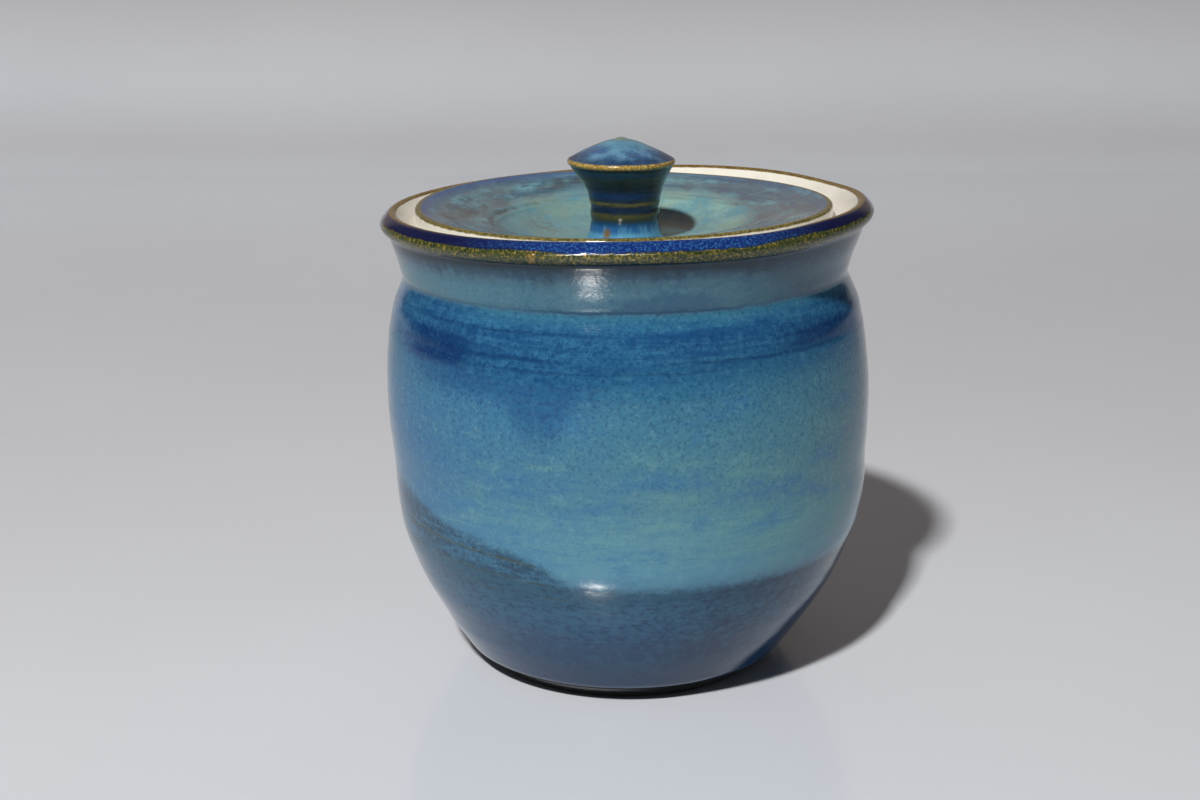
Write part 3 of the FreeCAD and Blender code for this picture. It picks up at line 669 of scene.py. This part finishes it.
    # thin olive-gold lines where one layer stops on the other
    zG = t.curve(phi, [(-180, 49), (-120, 48.8), (-80, 47.0), (-60, 46.2), (-25, 44.6), (-15, 42.5), (0, 40), (120, 44), (180, 49)], (-180, 180), (30, 70))
    gl = t.band(h - zG + (n_small - 0.5) * 1.2, 0, 0.75) * t.step(phi, -16, -26) * t.step(phi, -150, -80) * t.step(streak2, 0.30, 0.50)
    gl2 = t.band(h - zB + (n_small - 0.5) * 1.4, 0.2, 0.8) * t.step(phi, -8, -20) * t.step(phi, -150, -80) * t.step(streak2, 0.36, 0.56) * 0.6
    gl3 = t.band(h + (n_small - 0.5) * 1.4 + phi * 0.012, 35.2, 0.7) * t.step(phi, -8, -16) * t.step(phi, -60, -44) * t.step(streak2, 0.38, 0.6) * 0.5
    base = t.mix(t.mx(gl, gl2, gl3) * 0.70, base, (62, 72, 48))

    # cobalt shoulder
    zC = t.curve(phi, [(-180, 90), (-140, 88), (-105, 92), (-75, 94.5), (-62, 94), (-54, 89), (-46, 86.5), (-31, 86), (-26, 82.5), (-22, 78.0),
                       (-18.5, 76.5), (-15, 79.5), (-11, 86), (-6, 90.5), (8, 92.5), (28, 93), (48, 95), (70, 93), (110, 88), (150, 92), (180, 90)],
                 (-180, 180), (60, 110))
    soft = 2.6 + t.step(phi, -30, -22) * 2.6 + t.step(phi, -16, 0) * 3.4
    en2 = (n_small - 0.5) * 3 + (n_fine - 0.5) * 8 + (drip - 0.5) * 6 + (n_mid - 0.5) * 4
    mC = t.step(h - zC + en2, -soft, soft) * t.step(h + (n_small - 0.5) * 3 + (streak - 0.5) * 4 - t.window(phi, -70, -36, 8) * 1.6, 107.2, 103.4)
    cob = t.mix(t.step((n_small - 0.5) * 0.55 + (n_fine - 0.5) * 0.9 + (streak - 0.5) * 0.9, -0.17, 0.18), (22, 68, 116), (48, 104, 142))
    cob = t.mix(t.step(h + (n_mid - 0.5) * 6, 94, 88) * 0.7, cob, (16, 86, 132))
    cob = t.mix(t.step(n_fine2, 0.48, 0.66) * 0.5, cob, (16, 52, 100))
    base = t.mix(mC * 0.88, base, cob)
    dark = t.window(phi + (n_mid - 0.5) * 16, -60, -38, 7) * t.window(h + (n_small - 0.5) * 3, 92.5, 101.0, 1.8)
    dark2 = t.window(phi + (n_mid - 0.5) * 16, 40, 66, 9) * t.window(h + (n_small - 0.5) * 3, 96.8, 101.5, 1.6)
    dark3 = t.window(phi + (n_mid - 0.5) * 30, 130, 170, 16) * t.window(h + (n_small - 0.5) * 3, 93, 101, 2.0)
    base = t.mix(t.mx(dark, dark2, dark3) * 0.70, base, (6, 32, 88))
    for c, w, a0, a1, k in ((103.0, 0.7, -58, -8, 0.5), (96.9, 0.8, -62, -16, 0.6), (96.4, 0.8, 12, 58, 0.6), (94.1, 0.7, -50, 20, 0.35), (100.2, 0.6, 5, 60, 0.3)):
        m = t.band(h + (n_small - 0.5) * 1.2 + (n_mid - 0.5) * 1.4, c, w) * t.window(phi, a0, a1, 8)
        base = t.mix(m * k, base, (16, 48, 88))

    # dark speckle in the upper half, fading down
    spk = t.step(n_fine, 0.51, 0.63) * (0.30 * t.step(h, 36, 50) + 0.70 * t.step(h, 52, 86)) * t.step(h, 119.0, 112.0)
    base = t.mix(spk * 0.55, base, (18, 66, 106))
    spk2 = t.step(n_fine2, 0.60, 0.70) * t.step(h, 52, 88) * t.step(h, 106, 103)
    base = t.mix(spk2 * 0.5, base, (18, 60, 100))
    lt = t.step(n_fine2, 0.44, 0.34) * t.window(h, 40, 108, 3) * (1.0 - mC * 0.75)
    base = t.mix(lt * 0.30, base, (92, 144, 164))

    # neck: grey-blue, lighter teal to the left as painted light and darker to the right as painted shade, crease under
    # it
    nk = t.step(h, 107.6, 108.8)
    base = t.mix(nk * t.step(grain, 0.50, 0.66) * t.step(h, 119.5, 116.0) * 0.30, base, (88, 132, 146))
    base = t.mix(nk * t.step(n_mid + (n_small - 0.5) * 0.5, 0.40, 0.64) * t.step(h, 119.5, 115.0) * 0.40, base, (80, 116, 132))
    base = t.mix(nk * t.window(phi + (n_mid - 0.5) * 14, -2, 22, 4) * t.step(h + (n_small - 0.5) * 3 + (n_mid - 0.5) * 5, 113.2, 111.2) * 0.55, base, (30, 72, 104))
    # painted light: the lower neck lighter teal on the left, where the key falls
    base = t.mix(nk * t.step(h, 117, 110) * t.step(phi, -14, -42) * t.step(phi, -150, -110) * 0.4, base, (84, 132, 146))
    # painted shade: the neck darker on the right, away from the key
    base = t.mix(nk * t.step(phi, 12, 48) * t.step(phi, 165, 130) * 0.45, base, (22, 60, 82))
    base = t.mix(t.band(h + (n_small - 0.5) * 0.9 + (n_mid - 0.5) * 1.6, 108.2, 0.75) * (0.35 + 0.5 * t.window(phi, -20, 26, 6)), base, (8, 60, 92))
    # painted highlight: a lighter line along the rounded lower edge of the wall
    base = t.mix(t.band(h, 5.6, 1.1) * 0.35, base, (70, 92, 122))

    # the lip: gold-brown breaking, cobalt roll, gold crest, liner inside
    wl = (n_small - 0.5) * 0.9 + (n_mid - 0.5) * 0.9
    sl = s + wl
    gold_n = t.noise(P, 1.35, 5, 0.8)
    gold = t.ramp(gold_n, [(0.38, (14, 26, 22)), (0.48, (50, 62, 32)), (0.56, (104, 94, 42)), (0.68, (178, 156, 84))], 0, 1)
    gold = t.mix(t.step(t.noise(P, 0.16, 3), 0.46, 0.64) * 0.45, gold, (54, 66, 34))
    gold = t.mix(t.window(phi + (n_small - 0.5) * 3, -21.0, -19.4, 0.5) * t.step(gold_n, 0.44, 0.54) * 0.6, gold, (160, 122, 60))
    foot_of_gold = t.curve(phi, [(-180, 0.0), (-60, 0.2), (-50, 0.5), (-42, 0.4), (-33, 0.2), (-23, -0.2), (-14, 0.1), (4, 0.5), (22, -0.1), (42, 0.0), (60, -0.2), (180, 0.0)],
                           (-180, 180), (-1, 1))
    base = t.mix(t.step(sl - foot_of_gold, s_under - 0.45, s_under + 0.25), base, gold)
    cobl = t.mix(t.step(t.noise(t.scaled(P, 1, 1, 0.6), 2.0, 4, 0.75), 0.46, 0.68), (14, 38, 104), (58, 112, 168))
    cobl = t.mix(t.step(t.ab(phi - 4), 16, 48) * 0.92, cobl, (20, 18, 52))
    rise = t.curve(phi, [(-180, 0.9), (-90, 1.0), (-70, 1.1), (-58, 1.15), (-50, 1.3), (-42, 1.2), (-33, 1.0), (-23, 1.35), (-14, 0.95), (-4, 0.6), (4, 1.0),
                         (22, 0.75), (42, 1.6), (50, 1.2), (60, 1.05), (90, 1.0), (180, 0.9)], (-180, 180), (0, 2))
    base = t.mix(t.step(sl - rise, s_wide + 0.10, s_wide + 0.50), base, cobl)
    base = t.mix(t.band(sl - rise, s_wide + 0.45, 0.35) * 0.5, base, (14, 22, 50))
    crest_gold = t.mix(t.step(gold_n, 0.44, 0.6), (92, 72, 34), (140, 118, 62))
    side = t.step(t.ab(phi + 4), 25, 75) * 0.75
    base = t.mix(t.step(s + wl * 0.5 + side * 1.1, s_crest - 0.05, s_crest + 0.30), base, crest_gold)
    liner = t.mix(t.step(n_mid, 0.4, 0.7) * 0.5, (232, 229, 220), (214, 212, 204))
    liner = t.mix(t.step(t.cells(P, 0.42), 0.10, 0.04) * 0.5, liner, (150, 120, 90))
    base = t.mix(t.step(s + wl * 0.6 - side * 0.7, s_crest + 0.75, s_crest + 1.15), base, liner)

    # bare clay under the foot, and painted shade on the foot ring above it
    clay = t.ramp(t.noise(P, 0.9, 5, 0.7), [(0.3, (120, 98, 78)), (0.5, (152, 126, 100)), (0.7, (178, 152, 124))], 0, 1)
    clay = t.mix(t.step(t.cells(P, 0.9), 0.22, 0.10) * 0.6, clay, (84, 62, 48))
    sf = s + (n_small - 0.5) * 1.4 + (n_mid - 0.5) * 1.0
    m_clay = t.step(sf, S_FOOT - 8.0, S_FOOT - 8.6)
    # painted shade: the foot ring from the clay up to the wall is painted near black for the shadowed gap under the
    # wall
    base = t.mix(t.step(sf, S_FOOT - 0.5, S_FOOT - 1.1), base, (24, 24, 22))
    base = t.mix(t.band(sf, S_FOOT - 8.0, 1.2) * 0.6, base, (70, 48, 34))
    base = t.mix(m_clay, base, clay)

    m_gold = t.window(sl, s_under, s_wide + 0.9, 0.3)
    rough = 0.075 + (n_mid - 0.5) * 0.06 + m_gold * 0.04 + m_clay * 0.72
    hgt = (n_mid * 0.10 + n_small * 0.05) * (1.0 - m_clay) + gold_n * m_gold * 0.12 + n_fine * 0.036 * (1.0 - m_clay) + m_clay * (n_fine * 0.25) - t.step(n_fine, 0.54, 0.68) * 0.006
    nrm = t.bump(hgt, 1.0, 0.001)
    return t.finish(base, rough, nrm)


# ---------------------------------------------------------------- the lid's glaze

L_UNDER, L_EDGE, L_FLANGE, L_CREST, L_END = lid_s
edge_pts = resample(lid_rim, 0.35)
edge_d = np.r_[0, np.cumsum(np.linalg.norm(np.diff(edge_pts, axis=0), axis=1))]
l_top = L_UNDER + float(edge_d[int(np.argmax(edge_pts[:, 1]))])
l_corner = L_UNDER + float(edge_d[int(np.argmax(edge_pts[:, 0] + 0.35 * edge_pts[:, 1]))])


def lid_material():
    t = Tree("stoneware_lid_glaze")
    P, x, y, z = t.mm(-0.65, 0, 0)
    s = t.attr("s")
    r = t.m("SQRT", x * x + y * y)
    phi = t.m("ARCTAN2", x, -y) * (180 / math.pi)
    n_big = t.noise(P, 0.045, 3)
    n_mid = t.noise(P, 0.10, 4, 0.6)
    n_small = t.noise(P, 0.45, 4, 0.65)
    n_fine = t.noise(P, 1.3, 3, 0.7)
    ir = 1.0 / t.mx(r, 0.5)
    rings = t.noise(t.vec(x * ir * 1.6, y * ir * 1.6, r * 0.30), 1.0, 4, 0.6)
    # flange: steel blue, with brown-grey smudges to the left and a lavender cast to the right
    fl = t.mix(t.step(rings + (n_small - 0.5) * 0.4, 0.36, 0.64), (58, 98, 120), (100, 136, 146))
    fl = t.mix(t.step(phi, 0, 60) * t.step(phi, 170, 130) * 0.45, fl, (92, 102, 122))
    fl = t.mix(t.step(n_mid + (rings - 0.5) * 0.6, 0.5, 0.68) * 0.5, fl, (84, 84, 98))
    wisp = t.noise(t.vec(x * ir * 3.2, y * ir * 3.2, r * 0.16), 1.0, 4, 0.62)
    fl = t.mix(t.step(wisp + (n_small - 0.5) * 0.3, 0.49, 0.66) * 0.80, fl, (104, 158, 174))
    fl = t.mix(t.step(wisp + (n_mid - 0.5) * 0.5, 0.47, 0.33) * t.step(phi, 20, -20) * 0.65, fl, (60, 60, 62))
    fl = t.mix(t.step(r + (n_small - 0.5) * 5, 47.5, 54.0) * (0.3 + 0.5 * t.step(phi, -40, -90)), fl, (34, 78, 140))
    dish = t.mix(t.step(n_mid, 0.36, 0.64), (92, 142, 158), (134, 170, 166))
    dish = t.mix(t.step(n_big + (n_small - 0.5) * 0.5, 0.48, 0.66) * 0.42, dish, (150, 160, 122))
    dish = t.mix(t.step(phi, -20, -60) * t.step(n_mid + (n_small - 0.5) * 0.25, 0.34, 0.66) * 0.50, dish, (70, 124, 142))
    dish = t.mix(t.step(n_small, 0.46, 0.74) * 0.30, dish, (84, 132, 152))
    # the aqua of the dish spreads over the flange at the back
    edge = r + (n_mid - 0.5) * 12 + (n_small - 0.5) * 3 - t.step(t.ab(phi), 100, 150) * 7.0
    col = t.mix(t.step(edge, 31.0, 38.0), dish, fl)
    # darker arcs where the glaze breaks on the rings, and rust-brown clouds on the left
    leftish = t.step(phi, -10, -50)
    rm = r + (n_mid - 0.5) * 2
    col = t.mix(t.band(rm, 35.4, 1.5) * t.step(n_mid + (rings - 0.5) * 0.5, 0.40, 0.60) * (0.35 + leftish * 0.4), col, (62, 64, 62))
    col = t.mix(t.band(rm, 27.5, 3.2) * t.step(n_mid, 0.42, 0.60) * 0.25, col, (80, 116, 124))
    cloud = t.window(phi + (n_small - 0.5) * 20, -98, -72, 8) * t.window(r + (n_mid - 0.5) * 8, 40, 47, 2.5)
    cloud2 = t.window(phi + (n_small - 0.5) * 24, -84, -50, 9) * t.window(r + (n_mid - 0.5) * 8, 24, 33, 2.2)
    cloud3 = t.window(phi + (n_small - 0.5) * 24, -130, -112, 9) * t.window(r + (n_mid - 0.5) * 8, 22, 32, 2.5)
    col = t.mix(cloud * t.step(n_small, 0.30, 0.66) * 0.8, col, (66, 62, 66))
    col = t.mix(cloud2 * t.step(n_small, 0.30, 0.58) * 0.7, col, (66, 84, 84))
    col = t.mix(cloud3 * t.step(n_small, 0.36, 0.60) * 0.4, col, (104, 90, 74))
    col = t.mix(t.step(n_fine, 0.56, 0.68) * 0.25, col, (60, 96, 122))
    gold = t.mix(t.step(n_fine, 0.4, 0.62), (74, 70, 34), (132, 120, 64))
    col = t.mix(t.step(s + (n_small - 0.5) * 0.5, l_top + 0.75, l_top + 0.15), col, gold)
    liner = t.mix(t.step(n_mid, 0.4, 0.7) * 0.5, (233, 230, 221), (216, 213, 205))
    liner = t.mix(t.step(t.cells(P, 0.42), 0.10, 0.04) * 0.5, liner, (150, 120, 90))
    col = t.mix(t.step(s + (n_small - 0.5) * 0.6, l_corner + 0.25, l_corner - 0.25), col, liner)
    clay = t.ramp(t.noise(P, 0.9, 5, 0.7), [(0.3, (130, 108, 86)), (0.5, (160, 134, 108)), (0.7, (184, 158, 130))], 0, 1)
    m_clay = t.window(s + (n_small - 0.5) * 0.5, L_UNDER + 6.1, L_UNDER + 11.0, 0.2)
    col = t.mix(m_clay, col, clay)
    rough = 0.10 + (n_mid - 0.5) * 0.07 + m_clay * 0.7
    hgt = (n_mid * 0.10 + n_small * 0.05) * (1.0 - m_clay) + m_clay * n_fine * 0.25
    return t.finish(col, rough, t.bump(hgt, 1.0, 0.001))


# ---------------------------------------------------------------- the knob's glaze

K_BASE, K_STEM, K_CAP, K_DOME, K_TIP = knob_s


def knob_material():
    t = Tree("stoneware_knob_glaze")
    P, x, y, z = t.mm(-0.65, 0, 0)
    s, h = t.attr("s"), t.attr("h")
    phi = t.m("ARCTAN2", x, -y) * (180 / math.pi)
    n_mid = t.noise(P, 0.16, 4, 0.6)
    n_small = t.noise(P, 0.55, 4, 0.65)
    n_fine = t.noise(P, 1.5, 3, 0.7)
    vert = t.noise(t.scaled(P, 0.55, 0.55, 0.07), 1.0, 3, 0.6)
    hw = h + (n_small - 0.5) * 0.9
    col = t.ramp(hw, [
        (0.0, (96, 146, 168)), (2.6, (80, 140, 176)), (4.3, (40, 92, 142)), (6.0, (26, 62, 96)), (6.8, (44, 54, 46)), (8.0, (70, 70, 38)),
        (9.0, (24, 40, 58)), (10.2, (20, 36, 66)), (11.05, (92, 86, 46)), (11.9, (28, 42, 60)), (13.4, (16, 46, 92)), (14.6, (18, 34, 58)), (15.8, (12, 26, 34)),
        (17.0, (16, 30, 40)), (17.9, (34, 42, 30)), (18.8, (20, 58, 84)), (19.8, (24, 62, 84)), (20.4, (26, 34, 30))], -1, 29)
    streaky = t.noise(t.scaled(P, 0.22, 0.22, 1.3), 1.0, 4, 0.65)
    col = t.mix(t.step(streaky, 0.50, 0.66) * t.window(h, 11.8, 19.8, 0.8) * 0.38, col, (22, 64, 96))
    col = t.mix(t.step(streaky, 0.46, 0.36) * t.window(h, 6.5, 20.0, 0.8) * 0.55, col, (8, 18, 24))
    col = t.mix(t.step(vert, 0.48, 0.66) * t.step(h, 6.4, 4.0) * 0.45, col, (104, 164, 190))
    col = t.mix(t.step(vert, 0.44, 0.34) * t.step(h, 6.4, 4.0) * 0.35, col, (34, 92, 150))
    col = t.mix(t.window(phi, -34, -22, 5) * t.window(h, 2.2, 4.6, 0.8) * 0.9, col, (112, 90, 38))
    gold = t.ramp(n_fine, [(0.34, (104, 82, 34)), (0.5, (160, 132, 62)), (0.64, (206, 178, 108))], 0, 1)
    top = t.mix(t.step(n_mid + (n_small - 0.5) * 0.5, 0.40, 0.62), (50, 92, 140), (92, 138, 168))
    top = t.mix(t.step(n_small, 0.48, 0.68) * 0.45, top, (38, 68, 112))
    top = t.mix(t.step(h + (n_mid - 0.5) * 4, 24.6, 27.0) * 0.45, top, (96, 158, 176))
    top = t.mix(t.step(n_small + (n_mid - 0.5) * 0.4, 0.42, 0.34) * 0.5, top, (92, 98, 58))
    top = t.mix(t.step(h, 27.2, 28.0) * 0.7, top, (126, 124, 76))
    top = t.mix(t.step(hw + (n_mid - 0.5) * 2.5, 24.6, 22.8) * 0.70, top, (22, 42, 74))
    col = t.mix(t.step(s, K_STEM, K_STEM + 0.4), col, gold)
    col = t.mix(t.step(s + (n_small - 0.5) * 0.6, K_CAP - 0.6, K_CAP + 0.1), col, top)
    m_gold = t.window(s, K_STEM, K_CAP - 0.2, 0.3)
    rough = 0.07 + (n_mid - 0.5) * 0.05 + m_gold * 0.08
    hgt = n_mid * 0.08 + n_small * 0.04 + m_gold * n_fine * 0.08
    return t.finish(col, rough, t.bump(hgt, 1.0, 0.001))


body.data.materials.append(body_material())
lid.data.materials.append(lid_material())
knob.data.materials.append(knob_material())

for ob, node, owner, slot in ((body, "jar_body", "jar", "jar_glaze"), (lid, "lid", "lid", "lid_glaze"), (knob, "lid_knob", "lid", "knob_glaze")):
    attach(ob, owner)
    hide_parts(node)

# ---------------------------------------------------------------- floor, backdrop, light, camera


def stage_mesh(name, verts, faces):
    me = bpy.data.meshes.new(name)
    me.from_pydata(verts, [], faces)
    me.shade_smooth()
    ob = bpy.data.objects.new(name, me)
    scene.collection.objects.link(ob)
    return ob


# a floor that turns up softly into a backdrop far behind
prof = [(-3.0, 0.0), (0.9, 0.0)] + [(0.9 + 0.5 * math.sin(a), 0.5 - 0.5 * math.cos(a)) for a in np.linspace(0.05, math.pi / 2, 16)] + [(1.4, 3.0)]
verts, faces = [], []
for i, (yy, zz) in enumerate(prof):
    verts += [(-4.0, yy, zz), (4.0, yy, zz)]
    if i:
        k = 2 * i
        faces.append((k - 2, k - 1, k + 1, k))
floor = stage_mesh("studio_floor", verts, faces)
t = Tree("studio_paper")
Pf, fx, fy, fz = t.mm()
fcol = t.mix(t.step(t.noise(Pf, 0.004, 3), 0.3, 0.7) * 0.5, (221, 227, 237), (214, 219, 230))
fcol = t.mix(t.step(fz, 20, 260), fcol, (140, 126, 117))
fcol = t.mix(t.step(t.ab(fx), 750, 1050) * t.step(fz, 5, 60), fcol, (34, 36, 42))
floor.data.materials.append(t.finish(fcol, 0.17 + t.step(fz, 5, 60) * 0.6, None, 1.85))


def area(name, loc, target, size, energy, color=(1, 1, 1)):
    la = bpy.data.lights.new(name, "AREA")
    la.shape = "RECTANGLE"
    la.size, la.size_y = size
    la.energy = energy
    la.color = color
    ob = bpy.data.objects.new(name, la)
    scene.collection.objects.link(ob)
    ob.location = loc
    d = np.array(target, float) - np.array(loc, float)
    from mathutils import Vector
    ob.rotation_euler = Vector(d).to_track_quat("-Z", "Y").to_euler()
    return ob


az, el, dist = math.radians(19), math.radians(48), 3.0
key_dir = np.array((-math.sin(az) * math.cos(el), -math.cos(az) * math.cos(el), math.sin(el)))
area("key", tuple(key_dir * dist), (0, 0, 0.06), (0.17, 0.17), 98, (1.0, 0.965, 0.91))
left_light = area("side_left", (-1.45, 0.75, 0.16), (0, 0, 0.07), (1.3, 0.30), 2.6, (0.90, 0.95, 1.0))
right_light = area("side_right", (1.45, 0.95, 0.16), (0, 0, 0.07), (1.2, 0.30), 1.4, (0.96, 0.98, 1.0))
left_light.visible_glossy = right_light.visible_glossy = False

world = bpy.data.worlds.new("studio_air")
scene.world = world
world.use_nodes = True
bg = world.node_tree.nodes["Background"]
bg.inputs[0].default_value = (0.80, 0.88, 1.0, 1)
bg.inputs[1].default_value = 0.065

cam = bpy.data.cameras.new("photo_view")
cam.sensor_fit = "HORIZONTAL"
cam.sensor_width = 36.0
cam.lens = 36.0 * 1823.1 / 1200.0
cam.clip_start = 0.01
cam_ob = bpy.data.objects.new("photo_view", cam)
scene.collection.objects.link(cam_ob)
pitch, yaw, roll = 0.26740, 0.01500, -0.00567
from mathutils import Matrix
R = Matrix.Rotation(yaw, 4, "Z") @ Matrix.Rotation(math.pi / 2 - pitch, 4, "X") @ Matrix.Rotation(roll, 4, "Z")
cam_ob.matrix_world = Matrix.Translation((0.0, -0.48283, 0.20302)) @ R
scene.camera = cam_ob

scene.view_settings.view_transform = "Standard"
scene.view_settings.look = "None"

bpy.context.view_layer.update()
